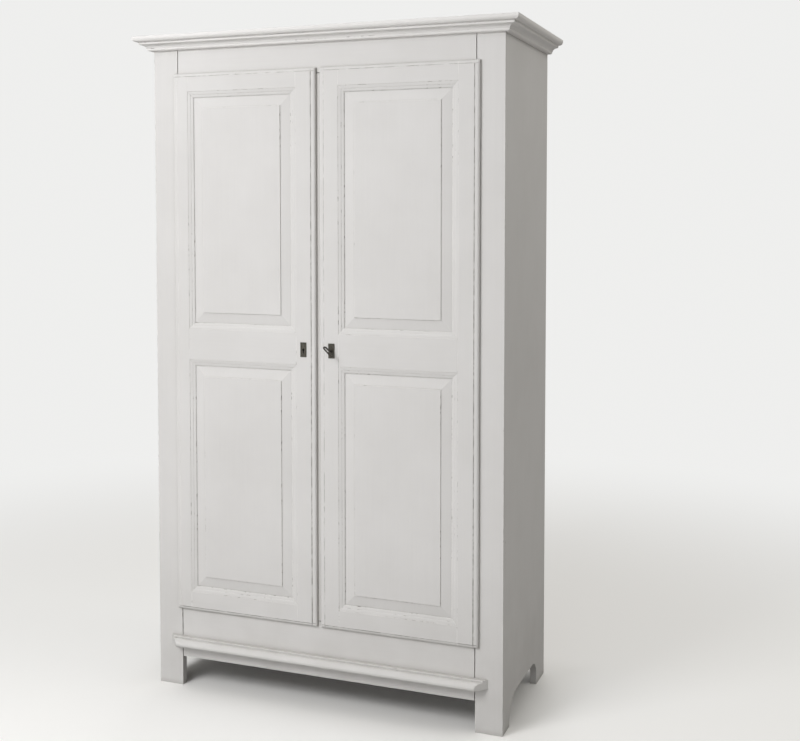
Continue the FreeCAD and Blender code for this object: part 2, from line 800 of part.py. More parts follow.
class Door:
    """One lipped door leaf, of which side is 1 on the right and -1 on the left."""

    def __init__(self, side, word):
        self.side = side
        self.word = word
        self.meeting = MEETING_EDGE[side]
        self.hinge_arris = LIP_EDGE - size(word + "_hinge_stile_face")
        self.meeting_arris = self.meeting + size(word + "_meeting_stile_face")
        lock_head = size("lock_rail_foot") + size("lock_rail_face")
        self.openings = {
            "lower": (DOOR_FOOT + size("bottom_rail_face"), size("lock_rail_foot")),
            "upper": (lock_head, DOOR_HEAD - size("top_rail_face")),
        }
        self.lips = self.lip_waste()

    def name(self, ending):
        """A node's name with this door's side in front."""
        return "%s_%s" % (self.word, ending)

    def lip_waste(self):
        """Four lengths of waste, whose crossings leave mitred lip corners."""
        across = span(self.side, self.meeting - OVER, LIP_EDGE + OVER)
        heights = (DOOR_FOOT - OVER, DOOR_HEAD + OVER)
        end_rebate = size("end_lap") + size("end_clearance")
        side_rebate = size("side_lap") + size("side_clearance")
        inset = size("quirk_inset")
        end_inset = size("end_quirk_inset")
        return {
            "hinge": prism(self.name("hinge_lip_waste"), "z",
                           laid(lip_section(LIP_EDGE, -1, inset, side_rebate, True), "z", self.side),
                           *heights),
            "meeting": prism(self.name("meeting_lip_waste"), "z",
                             laid(lip_section(self.meeting, 1, inset, None, False), "z", self.side),
                             *heights),
            "foot": prism(self.name("foot_lip_waste"), "x",
                          laid(lip_section(DOOR_FOOT, 1, end_inset, end_rebate, False), "x"),
                          *across),
            "head": prism(self.name("head_lip_waste"), "x",
                          laid(lip_section(DOOR_HEAD, -1, end_inset, end_rebate, False), "x"),
                          *across),
        }

    def tenons(self, rail, foot, head):
        """The tenons of one rail into the meeting and hinge stiles."""
        front = DOOR_FRONT + size("groove_front")
        depth = (front, front + size("groove_width"))
        heights = (foot + size("door_tenon_shoulder"), head - size("door_tenon_shoulder"))
        reach = size("door_tenon_length")
        return {
            "meeting": block(self.name(rail + "_meeting_tenon"),
                             span(self.side, self.meeting_arris - reach, self.meeting_arris),
                             depth, heights),
            "hinge": block(self.name(rail + "_hinge_tenon"),
                           span(self.side, self.hinge_arris, self.hinge_arris + reach),
                           depth, heights),
        }

    def coped_waste(self, name, arris, way, foot, head, foot_mitre, head_mitre):
        """What a rail's end takes from the moulded edge of a stile."""
        width = size("sticking_width") + OVER
        inner = arris + width * way
        low = foot - width if foot_mitre else foot - OVER
        high = head + width if head_mitre else head + OVER
        corners = [
            (self.side * arris, foot if foot_mitre else low),
            (self.side * inner, low),
            (self.side * inner, high),
            (self.side * arris, head if head_mitre else high),
        ]
        return prism(name, "y", corners, DOOR_FRONT - OVER, DOOR_REAR + OVER)

    def mitre_waste(self, name, arris, way, edge, rise):
        """The corner that a mitre takes from the moulded edge of a rail."""
        width = size("sticking_width") + OVER
        corners = [
            (self.side * arris, edge),
            (self.side * (arris + width * way), edge + width * rise),
            (self.side * arris, edge + width * rise),
        ]
        return prism(name, "y", corners, DOOR_FRONT - OVER, DOOR_REAR + OVER)

    def frame(self):
        """Two stiles and three rails round two panel openings."""
        lower, upper = self.openings["lower"], self.openings["upper"]
        rails = {
            "bottom_rail": (DOOR_FOOT, lower[0], False, True),
            "lock_rail": (lower[1], upper[0], True, True),
            "top_rail": (upper[1], DOOR_HEAD, True, False),
        }
        tenon_heights = {
            "bottom_rail": (BODY_FOOT, lower[0]),
            "lock_rail": (lower[1], upper[0]),
            "top_rail": (upper[1], BODY_HEAD),
        }
        tenons = {rail: self.tenons(rail, *tenon_heights[rail]) for rail in rails}
        for rail, (foot, head, foot_stuck, head_stuck) in rails.items():
            self.rail(rail, foot, head, foot_stuck, head_stuck, list(tenons[rail].values()))
        for stile, arris, way in (("hinge", self.hinge_arris, -1), ("meeting", self.meeting_arris, 1)):
            waste = [tenons[rail][stile] for rail in rails]
            waste += [self.lips[stile], self.lips["foot"], self.lips["head"]]
            for rail, (foot, head, foot_stuck, head_stuck) in rails.items():
                waste.append(self.coped_waste(self.name("%s_%s_cope" % (stile, rail)), arris, way,
                                              foot, head, foot_stuck, head_stuck))
            self.stile(stile, arris, waste)

    def rail(self, rail, foot, head, foot_stuck, head_stuck, tenons):
        """One rail, shouldered at the stiles' arrises and mitred at its moulded edges."""
        name = self.name(rail)
        section = laid(member_section(foot, head, foot_stuck, head_stuck), "x")
        plank = prism(name + "_plank", "x", section,
                      *span(self.side, self.meeting_arris, self.hinge_arris))
        waste = []
        for stuck, edge, rise, place in ((foot_stuck, foot, -1, "foot"), (head_stuck, head, 1, "head")):
            if not stuck:
                waste.append(self.lips[place])
                continue
            for arris, way, end in ((self.meeting_arris, 1, "meeting"), (self.hinge_arris, -1, "hinge")):
                waste.append(self.mitre_waste("%s_%s_%s_mitre" % (name, place, end),
                                              arris, way, edge, rise))
        trimmed_plank = trimmed(name + "_trimmed", plank, waste)
        whole = joined(name + "_whole", [trimmed_plank] + tenons)
        if self.side > 0 and rail == "lock_rail":
            whole = trimmed(name + "_bored", whole, [KEYHOLE_WASTE])
        node(name, whole)

    def stile(self, stile, arris, waste):
        """One stile with its mortises, lip and, at the hinges, their recesses."""
        name = self.name(stile + "_stile")
        if stile == "hinge":
            section = member_section(arris, LIP_EDGE, True, False)
            waste = waste + [recess for place in HINGE_PLACES for recess in hinge_recess(self, place)]
        else:
            section = member_section(self.meeting, arris, False, True)
            if self.side > 0:
                waste = waste + [KEYHOLE_WASTE]
        plank = prism(name + "_plank", "z", laid(section, "z", self.side), DOOR_FOOT, DOOR_HEAD)
        node(name, trimmed(name, plank, waste))

    def panels(self):
        """Two raised and fielded panels, loose in the grooves of the frame."""
        for place, (foot, head) in self.openings.items():
            name = self.name(place + "_panel")
            hidden = size("sticking_width") - size("groove_depth") + size("panel_slack")
            valley = size("sticking_width")
            field = valley + size("bevel_width")
            front = DOOR_FRONT + size("panel_valley")
            step = DOOR_FRONT + size("field_step")

            def faces(inset):
                return (span(self.side, self.meeting_arris + inset, self.hinge_arris - inset),
                        (foot + inset, head - inset))

            slab = block(name + "_slab", faces(hidden)[0], (front, front + size("panel_tongue")),
                         faces(hidden)[1])
            raised = block(name + "_field", faces(field)[0], (DOOR_FRONT, front), faces(field)[1])
            bevel = DOC.addObject("Part::Wedge", name + "_bevel")
            for letter, small, large in zip("XZ", faces(field), faces(valley)):
                for ending, near, far in zip(("min", "max"), small, large):
                    bind(bevel, letter + ending, near)
                    bind(bevel, letter + "2" + ending, far)
            bind(bevel, "Ymin", step)
            bind(bevel, "Ymax", front)
            node(name, joined(name, [slab, bevel, raised]))


def hinge_recess(door, place):
    """Room for one hinge in the rear and the nose of the lip."""
    index = HINGE_PLACES.index(place)
    half = size("hinge_length") / 2 + size("knuckle_gap")
    heights = (place - half, place + half)
    bed = DOOR_FRONT + LEAF_FRONT
    return [
        block(door.name("hinge_bed_%d" % index), span(door.side, BODY_EDGE, LIP_EDGE + OVER),
              (bed, FACE), heights),
        rod(door.name("hinge_notch_%d" % index), "z", size("knuckle_relief"), *heights,
            (door.side * PIN_X, PIN_Y)),
    ]


def knuckles(name, side, radius, reaches):
    """Round knuckles about the hinge pin."""
    return [rod("%s_knuckle_%d" % (name, index), "z", radius, low, high, (side * PIN_X, PIN_Y))
            for index, (low, high) in enumerate(reaches)]


def hinge(door, index, place):
    """One cranked hinge: frame leaf, door leaf and pin."""
    side = door.side
    half = size("hinge_length") / 2
    foot, head = place - half, place + half
    knuckle = size("frame_knuckle_length")
    gap = size("knuckle_gap")
    thick = size("leaf_thickness")
    frame_reaches = ((foot, foot + knuckle), (head - knuckle, head))
    door_reach = (foot + knuckle + gap, head - knuckle - gap)
    relief = PIN_X - size("knuckle_relief")
    bore = rod(door.name("hinge_bore_%d" % index), "z", size("hinge_bore_radius"),
               foot - gap, head + gap, (side * PIN_X, PIN_Y))

    name = door.name("frame_leaf_%d" % index)
    face = (FACE - thick, FACE)
    parts = [
        block(name + "_face", span(side, OPENING - thick, relief), face, (foot, head)),
        block(name + "_wing", span(side, OPENING - thick, OPENING),
              (FACE - thick, FACE + size("frame_wing")), (foot, head)),
    ]
    for number, reach in enumerate(frame_reaches):
        parts.append(block("%s_root_%d" % (name, number), span(side, relief, PIN_X), face, reach))
    parts += knuckles(name, side, size("frame_knuckle_radius"), frame_reaches)
    frame_leaf = trimmed(name, joined(name + "_whole", parts), [bore])

    name = door.name("door_leaf_%d" % index)
    bed = (DOOR_FRONT + LEAF_FRONT, DOOR_FRONT + LEAF_FRONT + thick)
    parts = [
        block(name + "_bed", span(side, BODY_EDGE, relief), bed, (foot, head)),
        block(name + "_wing", span(side, BODY_EDGE, BODY_EDGE + thick),
              (bed[0], FACE + size("door_wing")), (foot, head)),
        block(name + "_root", span(side, relief, PIN_X), bed, door_reach),
    ]
    parts += knuckles(name, side, size("door_knuckle_radius"), (door_reach,))
    door_leaf = trimmed(name, joined(name + "_whole", parts), [bore])

    pin = rod(door.name("hinge_pin_%d" % index), "z", size("hinge_pin_radius"), foot, head,
              (side * PIN_X, PIN_Y))
    return frame_leaf, door_leaf, pin


def hinges(door):
    """All hinges of a door, with one node for each kind of piece."""
    kinds = zip(*(hinge(door, index, place) for index, place in enumerate(HINGE_PLACES)))
    for ending, pieces in zip(("frame_leaves", "door_leaves", "hinge_pins"), kinds):
        name = door.name(ending)
        node(name, grouped(name, list(pieces)))


def keyhole(name, x, low, high):
    """A keyhole's round and slot, as waste between two depths."""
    height = LOCK_HEIGHT
    half = size("keyhole_slot") / 2
    eye = rod(name + "_eye", "y", size("keyhole_radius"), low, high, (x, height))
    slot = block(name + "_slot", (x - half, x + half), (low, high),
                 (height - size("keyhole_drop"), height))
    return joined(name, [eye, slot])


def lock_x(side):
    """The X place of a keyhole."""
    return side * (MEETING_EDGE[side] + size("lock_inset"))


KEYHOLE_WASTE = keyhole("keyhole_waste", lock_x(1), DOOR_FRONT - OVER, DOOR_REAR)


def escutcheons():
    """A plain plate round each keyhole; the left one is blind."""
    half = size("plate_width") / 2
    tall = size("plate_height") / 2
    height = LOCK_HEIGHT
    front = DOOR_FRONT - size("plate_thickness")
    for side, word in SIDES:
        x = lock_x(side)
        name = word + "_escutcheon"
        plate = block(name + "_plate", (x - half, x + half), (front, DOOR_FRONT),
                      (height - tall, height + tall))
        waste = keyhole(name + "_hole", x, front - OVER, DOOR_FRONT + OVER)
        node(name, trimmed(name, plate, [waste]))


def lock_case():
    """An open-backed case with a mouth for the bolt and a hole for the key."""
    wall = size("case_wall")
    edge = MEETING_EDGE[1] + size("case_edge")
    end = edge + size("case_width")
    height = LOCK_HEIGHT
    half = size("case_height") / 2
    shell = block("lock_case_shell", (edge, end), (DOOR_REAR, CASE_REAR), (height - half, height + half))
    hollow = block("lock_case_hollow", (edge + wall, end - wall), (DOOR_REAR, CASE_INNER),
                   (height - half + wall, height + half - wall))
    slack = size("bolt_slack")
    heights = bolt_heights()
    thick = size("bolt_thickness") / 2 + slack
    mouth = block("lock_case_mouth", (edge - OVER, edge + wall),
                  (BOLT_MIDDLE - thick, BOLT_MIDDLE + thick), (heights[0] - slack, heights[1] + slack))
    bore = rod("lock_case_bore", "y", size("key_radius") + size("key_fit"), CASE_INNER,
               CASE_REAR + OVER, (lock_x(1), height))
    node("lock_case", trimmed("lock_case", shell, [hollow, mouth, bore]))


def bolt_heights():
    """The lower and upper faces of the lock bolt's head."""
    head = LOCK_HEIGHT + size("bit_radius") - size("bit_play") + size("bolt_tail_height")
    return head - size("bolt_head_height"), head


def lock_bolt():
    """A bolt with a long tail, notched where the key's bit turns."""
    thick = size("bolt_thickness") / 2
    depth = (BOLT_MIDDLE - thick, BOLT_MIDDLE + thick)
    foot, head = bolt_heights()
    tip = MEETING_EDGE[1] + size("bolt_tip")
    shoulder = tip + size("bolt_head_length")
    tail_foot = head - size("bolt_tail_height")
    front = block("lock_bolt_head", (tip, shoulder), depth, (foot, head))
    tail = block("lock_bolt_tail", (shoulder, shoulder + size("bolt_tail_length")), depth,
                 (tail_foot, head))
    talon = lock_x(1) + size("talon_place")
    half = size("talon_width") / 2
    notch = block("lock_bolt_talon", (talon - half, talon + half),
                  (depth[0] - OVER, depth[1] + OVER), (tail_foot, tail_foot + size("talon_depth")))
    node("lock_bolt", trimmed("lock_bolt", joined("lock_bolt_whole", [front, tail]), [notch]))


def oval(half_long, half_tall):
    """The corners of an oval about the origin, with quarter rounds between flats."""
    bend = half_long * BOW_BEND_SHARE
    return [
        (half_long - bend, half_tall),
        (half_long, half_tall - bend, "u", half_long - bend),
        (half_long, bend - half_tall),
        (half_long - bend, -half_tall, "u", half_long - bend),
        (bend - half_long, -half_tall),
        (-half_long, bend - half_tall, "u", bend - half_long),
        (-half_long, half_tall - bend),
        (bend - half_long, half_tall, "u", bend - half_long),
    ]


def bow_ring():
    """An oval ring with eased edges, in the plane of the bit."""
    wire = size("bow_wire")
    half_long = size("bow_length") / 2
    half_tall = size("bow_height") / 2
    ring = prism("key_bow", "x", oval(half_long, half_tall), -wire, wire)
    eye = new_sketch(ring, "key_bow_eye", "x")
    draw(eye, oval(half_long - wire * 2, half_tall - wire * 2))
    DOC.recompute()
    pocket = ring.newObject("PartDesign::Pocket", "key_bow_pocket")
    pocket.Profile = eye
    pocket.Reversed = True
    bind(pocket, "Length", wire * 2)
    DOC.recompute()
    eased = ring.newObject("PartDesign::Chamfer", "key_bow_chamfer")
    eased.Base = (pocket, [])
    eased.UseAllEdges = True
    bind(eased, "Size", wire * BOW_BEVEL_SHARE)
    ring.Tip = eased
    bind(ring, "Placement.Base.y", KEY_END + half_long)
    return ring


def key():
    """A key with an oval bow, a collar, a round shank and a bit."""
    shank_front = KEY_END + size("bow_length") - size("bow_wire")
    shank = rod("key_shank", "y", size("key_radius"), shank_front, CASE_REAR, (0, 0))
    collar_rear = DOOR_FRONT - size("plate_thickness") - size("key_fit") * 2
    collar = rod("key_collar", "y", size("key_collar_radius"),
                 collar_rear - size("key_collar_length"), collar_rear, (0, 0))
    half = size("bit_thickness") / 2
    wide = size("bit_width") / 2
    bit = block("key_bit", (-half, half), (BOLT_MIDDLE - wide, BOLT_MIDDLE + wide),
                (-size("bit_radius"), 0))
    piece = joined("key", [bow_ring(), shank, collar, bit])
    turn = FreeCAD.Rotation(Vector(0, -1, 0), KEY_TURN_SHARE * FULL_TURN)
    piece.Placement = FreeCAD.Placement(Vector(), turn)
    bind(piece, "Placement.Base.x", lock_x(1))
    bind(piece, "Placement.Base.z", LOCK_HEIGHT)
    node("key", piece)


def closing_strip():
    """The strip on the left door that fills most of the meeting gap."""
    faces = (-MEETING_EDGE[-1], MEETING_EDGE[1] - size("strip_clearance"))
    node("closing_strip", block("closing_strip", faces, (FACE, DOOR_REAR), (BODY_FOOT, BODY_HEAD)))


def lock_keeper():
    """The box keeper behind the left door that takes the lock bolt."""
    wall = size("keeper_wall")
    slack = size("bolt_slack")
    edge = MEETING_EDGE[1] - size("strip_clearance") - size("keeper_edge")
    foot, head = bolt_heights()
    thick = size("bolt_thickness") / 2 + slack
    shell = block("lock_keeper_shell", (edge - size("keeper_length"), edge),
                  (DOOR_REAR, BOLT_MIDDLE + thick + wall), (foot - slack - wall, head + slack + wall))
    mouth = block("lock_keeper_mouth", (edge - size("keeper_length") + wall, edge + OVER),
                  (BOLT_MIDDLE - thick, BOLT_MIDDLE + thick), (foot - slack, head + slack))
    node("lock_keeper", trimmed("lock_keeper", shell, [mouth]))


def surface_bolt(word, way, edge, rail_edge):
    """A sliding bolt with its guide on the left door and its keep in the rail."""
    fit = size("slide_fit")
    tip = edge - size("slide_end_gap") * way
    far = tip - size("slide_length") * way
    reach = (far, tip) if way > 0 else (tip, far)

    name = word + "_bolt"
    bar = slide_bar(name + "_bar", 0, *reach)
    middle = (tip + far) / 2
    knob = rod(name + "_knob", "y", size("knob_radius"), SLIDE_Y, SLIDE_Y + size("knob_length"),
               (SLIDE_X, middle))
    node(name, joined(name, [bar, knob]))

    name = word + "_bolt_guide"
    half = size("guide_width") / 2
    guide_end = tip - size("slide_end_gap") * way
    guide_far = guide_end - size("guide_length") * way
    low, high = (guide_far, guide_end) if way > 0 else (guide_end, guide_far)
    faces = (SLIDE_X - half, SLIDE_X + half)
    plate = block(name + "_plate", faces, (DOOR_REAR, DOOR_REAR + size("guide_plate")), (low, high))
    deep = (DOOR_REAR, DOOR_REAR + size("guide_plate") + size("guide_lug_depth"))
    lug_faces = (SLIDE_X - half / 2, SLIDE_X + half / 2)
    lugs = [
        block(name + "_lower_lug", lug_faces, deep, (low, low + size("guide_lug"))),
        block(name + "_upper_lug", lug_faces, deep, (high - size("guide_lug"), high)),
    ]
    channel = slide_bar(name + "_channel", fit, low - OVER, high + OVER)
    node(name, trimmed(name, joined(name + "_whole", [plate] + lugs), [channel]))

    name = word + "_bolt_keeper"
    plate = keep_plate(name + "_plate", rail_edge, way)
    thick = size("keep_plate_thickness") + OVER
    hole = slide_bar(name + "_hole", fit, rail_edge - thick, rail_edge + thick)
    node(name, trimmed(name, plate, [hole]))


def check():
    """Stop if any object failed or any node is empty or invalid."""
    for item in DOC.Objects:
        if "Invalid" in item.State or "Error" in item.State:
            raise RuntimeError("failed: %s %s" % (item.Name, item.State))
    for piece in NODES:
        if piece.Shape.isNull() or not piece.Shape.isValid() or not piece.Shape.Solids:
            raise RuntimeError("bad shape: " + piece.Label)


def export():
    """Write each node to its own file."""
    os.makedirs("parts", exist_ok=True)
    for piece in NODES:
        piece.Shape.exportStep("parts/%s.step" % piece.Label)


front_frame()
side_panels()
cornice()
bottom_moulding()
back()
inside_boards()
clothes_rail()
for door_side, door_word in SIDES:
    leaf = Door(door_side, door_word)
    leaf.frame()
    leaf.panels()
    hinges(leaf)
escutcheons()
lock_case()
lock_bolt()
key()
closing_strip()
lock_keeper()
surface_bolt("upper", 1, BODY_HEAD, FRIEZE_FOOT)
surface_bolt("lower", -1, BODY_FOOT, RAIL_HEAD)
DOC.recompute()
check()
export()
print("nodes:", len(NODES))
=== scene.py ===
"""Looks for the painted wardrobe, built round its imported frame. Units are metres."""

import json
import math

import bmesh
import bpy
from mathutils import Matrix, Vector

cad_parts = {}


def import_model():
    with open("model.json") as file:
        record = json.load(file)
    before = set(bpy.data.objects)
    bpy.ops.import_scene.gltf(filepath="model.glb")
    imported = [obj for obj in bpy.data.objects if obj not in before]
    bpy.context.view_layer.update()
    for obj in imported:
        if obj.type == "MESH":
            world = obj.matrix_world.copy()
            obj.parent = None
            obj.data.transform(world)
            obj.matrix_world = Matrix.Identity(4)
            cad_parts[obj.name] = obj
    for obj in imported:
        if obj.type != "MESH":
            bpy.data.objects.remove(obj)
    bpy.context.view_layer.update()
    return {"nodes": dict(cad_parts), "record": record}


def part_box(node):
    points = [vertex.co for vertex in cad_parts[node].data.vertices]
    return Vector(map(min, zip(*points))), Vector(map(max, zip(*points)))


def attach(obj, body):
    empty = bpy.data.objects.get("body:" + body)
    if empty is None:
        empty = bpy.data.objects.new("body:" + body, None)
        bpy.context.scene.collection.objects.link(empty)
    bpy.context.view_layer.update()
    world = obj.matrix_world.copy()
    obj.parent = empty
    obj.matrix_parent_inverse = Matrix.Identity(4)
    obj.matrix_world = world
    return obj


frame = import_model()

MM = 0.001

# The photograph's camera: place, turn to the left, tilt down, lens, sensor and shift
CAMERA_PLACE = (1.3915, -3.2581, 1.4493)
CAMERA_TURN = math.radians(20.648)
CAMERA_TILT = math.radians(2.87)
CAMERA_LENS = 52.006
CAMERA_SENSOR = 36.0
CAMERA_SHIFT = -0.1223

# Each lamp: its place, the point it is aimed at, its size, power and colour
LAMPS = {
    "key_light": ((-1.3, -2.9, 2.75), (0, -0.2, -0.6), 1.5, 72, (1.0, 1.0, 1.0)),
    "front_fill": ((-0.1, -3.6, 0.6), (0, 0, 1.0), 2.4, 39, (1.0, 1.0, 1.0)),
    "side_fill": ((2.6, 0.3, 3.0), (0.55, 0, 1.4), 1.6, 15, (1.0, 0.97, 0.90)),
    "rear_light": ((-0.6, 4.6, 4.2), (0, 0, 1.0), 3.0, 50, (1.0, 0.99, 0.98)),
}

# The world's strength at the horizon and overhead
WORLD_STRENGTHS = (0.12, 0.62)

# The floor, and the half width and depth of the plan in which it takes no glow
FLOOR_RADIUS = 9.0
FLOOR_SEGMENTS = 96
PLAN_HALVES = (0.53, 0.20)

# Colours, linear
PAINT_LIGHT = (0.700, 0.689, 0.684, 1)
PAINT_DARK = (0.650, 0.638, 0.630, 1)
# Painted highlight, on edges and on the cornice
PAINT_HIGHLIGHT = (0.860, 0.845, 0.835, 1)
# Dust, and painted shade in corners and low down
SHADE_AND_DUST_PAINT = (0.400, 0.385, 0.360, 1)
# Dirt and painted shade in seams and quirks
SEAM_SOILING_AND_SHADE = (0.120, 0.110, 0.095, 1)
BARE_CHIP = (0.100, 0.080, 0.062, 1)
PINE_LIGHT = (0.50, 0.335, 0.18, 1)
PINE_DARK = (0.29, 0.165, 0.075, 1)
# Stains, and painted shade in the pine's corners
STAIN_AND_SHADE_PINE = (0.11, 0.068, 0.038, 1)
IRON_DARK = (0.020, 0.017, 0.013, 1)
IRON_OLIVE = (0.105, 0.098, 0.076, 1)
IRON_BROWN = (0.055, 0.038, 0.026, 1)
# Painted shade seen in the keyhole
HOLE_BLACK = (0.004, 0.004, 0.004, 1)
HOLE_EDGE = (0.012, 0.010, 0.008, 1)
STEEL = (0.35, 0.34, 0.32, 1)
# Painted shade below the floor board
UNDERSIDE_SHADE = (0.045, 0.042, 0.038, 1)
FLOOR = (0.34, 0.335, 0.325, 1)
FLOOR_SEEN = (0.93, 0.925, 0.915, 1)
BACKDROP = (0.86, 0.86, 0.85, 1)
WORLD_COLOUR = (1.0, 0.985, 0.94, 1)

# Noises: scale, detail and roughness
NOISES = {
    "clouds": (2.6, 4.0, 0.62),
    "dust_and_shade": (9.0, 5.0, 0.5),
    "highlight_noise": (16.0, 4.0, 0.5),
    "seam_soiling_and_shade": (24.0, 5.0, 0.65),
    "quirks": (30.0, 6.0, 0.75),
    "chip_patches": (5.5, 3.0, 0.5),
    "chip_breaks": (62.0, 6.0, 0.7),
    "specks": (150.0, 2.0, 0.5),
    "stains": (2.6, 4.0, 0.5),
    "mottle": (260.0, 4.0, 0.7),
    "rust": (90.0, 4.0, 0.5),
    "hole_shade_noise": (400.0, 3.0, 0.5),
}

# Noises drawn out along the grain: scale along it and across it, detail, roughness, distortion
GRAINS = {
    "strokes": (5.0, 210.0, 4.0, 0.6, 0.0),
    "waves": (1.1, 9.0, 2.0, 0.5, 0.0),
    "rings": (0.9, 26.0, 3.0, 0.55, 0.6),
    "fibres": (9.0, 520.0, 5.0, 0.6, 0.0),
}

# Growth rings in a softwood pattern, and the share of dark in them
RING_COUNT, RING_TONE = 9.0, 0.62

# Scratches on steel: scale on each axis, detail and roughness
SCRATCH_SCALES = (900.0, 900.0, 60.0)
SCRATCH_LOOK = (4.0, 0.6)

# The shift that sets the chips' noises apart from the others
CHIP_SHIFT = (0.37, 0.21, 0.13)

# Steps: where a value begins and ends to count, and what it turns into there
STEPS = {
    # Off-white paint
    "cloud_tone": (0.30, 0.72, 0.0, 0.75),
    "stroke_tone": (0.3, 0.75, 0.0, 0.14),
    "darker_towards_floor": (0.0, 0.60, 0.24, 0.0),
    "dust_patches": (0.30, 0.70, 0.4, 1.0),
    "highlight_edge": (0.006, 0.07, 0.0, 0.9),
    "highlight_patches": (0.34, 0.6, 0.25, 1.0),
    "corner_painted_shade": (0.10, 0.42, 0.0, 0.50),
    "cornice_height_step": (1.930, 1.945, 1.0, 0.2),
    "cornice_painted_light": (0.2, 1.0, 0.62, 0.0),
    "seam_patches": (0.36, 0.60, 0.3, 1.0),
    "seam_height": (0.3, 1.5, 1.25, 0.85),
    "quirk_patches": (0.40, 0.58, 0.10, 0.62),
    "quirk_height": (0.3, 1.7, 1.0, 0.7),
    "chip_patches": (0.44, 0.60, 0.0, 1.0),
    "chip_breaks": (0.545, 0.60, 0.0, 1.0),
    "chip_edge": (0.03, 0.14, 0.0, 1.0),
    "specks": (0.73, 0.77, 0.0, 0.7),
    "speck_edge": (0.002, 0.03, 0.0, 1.0),
    "paint_roughness": (0.2, 0.8, 0.62, 0.78),
    # Where the paint ends, and where the doors' quirks lie
    "side_outside": (0.53005, 0.53025, 0.0, 1.0),
    "door_front": (-0.2276, -0.2262, 1.0, 0.0),
    "above_door_foot": (0.242, 0.248, 0.0, 1.0),
    "below_door_head": (1.866, 1.872, 1.0, 0.0),
    # Softwood
    "rings": (0.15, 0.95, 0.0, 1.0),
    "fibre_tone": (0.42, 0.75, 0.0, 0.4),
    "stains": (0.4, 0.75, 0.0, 0.4),
    "pine_hollow_shade": (0.45, 0.95, 0.0, 0.55),
    "pine_roughness": (0.2, 0.8, 0.48, 0.66),
    "nail_head": (0.0019, 0.0024, 1.0, 0.0),
    "below_floor_board": (0.2365, 0.2415, 0.85, 0.0),
    "inside_back": (0.2570, 0.2600, 1.0, 0.0),
    # Metal
    "iron_edge": (0.02, 0.25, 1.0, 0.25),
    "rust": (0.52, 0.70, 0.0, 0.5),
    "iron_roughness": (0.3, 0.7, 0.42, 0.66),
    "hole_shade_noise": (0.4, 0.7, 0.0, 1.0),
    "hole_roughness": (0.0, 1.0, 0.85, 1.0),
    "scratch_tone": (0.35, 0.75, 0.0, 0.5),
    "steel_roughness": (0.2, 0.8, 0.35, 0.55),
    # Floor
    "outside_plan": (0.0, 0.22, 0.0, 1.0),
    "floor_fade": (1.2, 3.6, 0.28, 1.0),
}

# Two steps that end higher on some pieces than on others: range, and those two ends
SEAM_RANGE = (0.34, 0.80)
FRAME_SEAM_DARKENING, PANEL_SEAM_DARKENING = 0.48, 0.15
MOTTLE_RANGE = (0.38, 0.66)
PLATE_MOTTLE, IRON_MOTTLE = 0.95, 0.35

# What is set on the shaders' own sockets
PAINT_SHEEN = {"Specular IOR Level": 0.35}
PINE_SHEEN = {"Specular IOR Level": 0.5}
IRON_SHEEN = {"Metallic": 0.35}
HOLE_SHEEN = {"Specular IOR Level": 0.1}
STEEL_SHEEN = {"Metallic": 0.9}
FLOOR_SHEEN = {"Specular IOR Level": 0.2}
FLOOR_ROUGHNESS = 0.85

# Bumps: strength and depth
BUMPS = {
    "waves": (0.45, 0.0022),
    "strokes": (0.16, 0.0005),
    "chips": (0.6, 0.0004),
    "fibres": (0.4, 0.0004),
    "rings": (0.15, 0.0004),
    "nails": (0.8, 0.0005),
    "mottle": (0.4, 0.0003),
    "scratches": (0.2, 0.0002),
}

# Radii over which edges are rounded
PAINT_ROUNDING = 0.0012
PINE_ROUNDING = 0.0009
IRON_ROUNDING = 0.0005
STEEL_ROUNDING = 0.0003

# How near to an edge or a corner a finish begins to change, and the samples taken there
HIGHLIGHT_AND_CHIP_REACH = 0.0022
SPECK_REACH = 0.005
IRON_EDGE_REACH = 0.0009
CORNER_SHADE_REACH = 0.020
SEAM_REACH = 0.006
PINE_SHADE_REACH = 0.02
BEVEL_SAMPLES = 4
CORNER_SAMPLES = 6

# The quirks round the doors' faces: axis and middle of each, and half their width
QUIRKS = ((0, -0.0252), (0, 0.0152), (0, 0.4664), (2, 0.2516), (2, 1.8614))
QUIRK_HALF = 0.0016
QUIRK_CORE = 0.6

# The nails of the back boards: start and pitch of the columns, and heights of the rows
NAIL_START = 0.54
NAIL_PITCH = 0.09
NAIL_HEIGHTS = (0.217, 1.607, 1.942)

# A screw head's shares of its radius and height, and its steps
SLOT_LEAN = math.asin(0.18)
RIM_SHARE = 0.72
CROWN_ACROSS, CROWN_ALONG, CROWN_SHIFT = 0.9, 0.92, 0.012
DISC_SHARE, DISC_RISE = 0.97, 0.3
HALF_STEPS, DISC_STEPS = 10, 20
FIRST_SLOT_TURN, NEXT_SLOT_TURN = 0.5, 1.9

# A pin head's profile, as shares of its radius and height, and its steps
PIN_PROFILE = ((1.0, -0.4), (1.0, 0.25), (0.8, 0.7), (0.45, 0.95))
PIN_STEPS = 12
PIN_RADIUS, PIN_HEIGHT, PIN_INSET = 1.5 * MM, 0.8 * MM, 3.6 * MM

# Each kind of screw: radius and height of its head
SCREWS = {
    "frame_hinge": (2.9 * MM, 0.28 * MM),
    "door_hinge": (2.6 * MM, 0.22 * MM),
    "lock_case": (3.2 * MM, 0.9 * MM),
    "lock_keeper": (2.8 * MM, 0.8 * MM),
    "guide": (2.5 * MM, 0.8 * MM),
    "keeper": (2.4 * MM, 0.25 * MM),
}

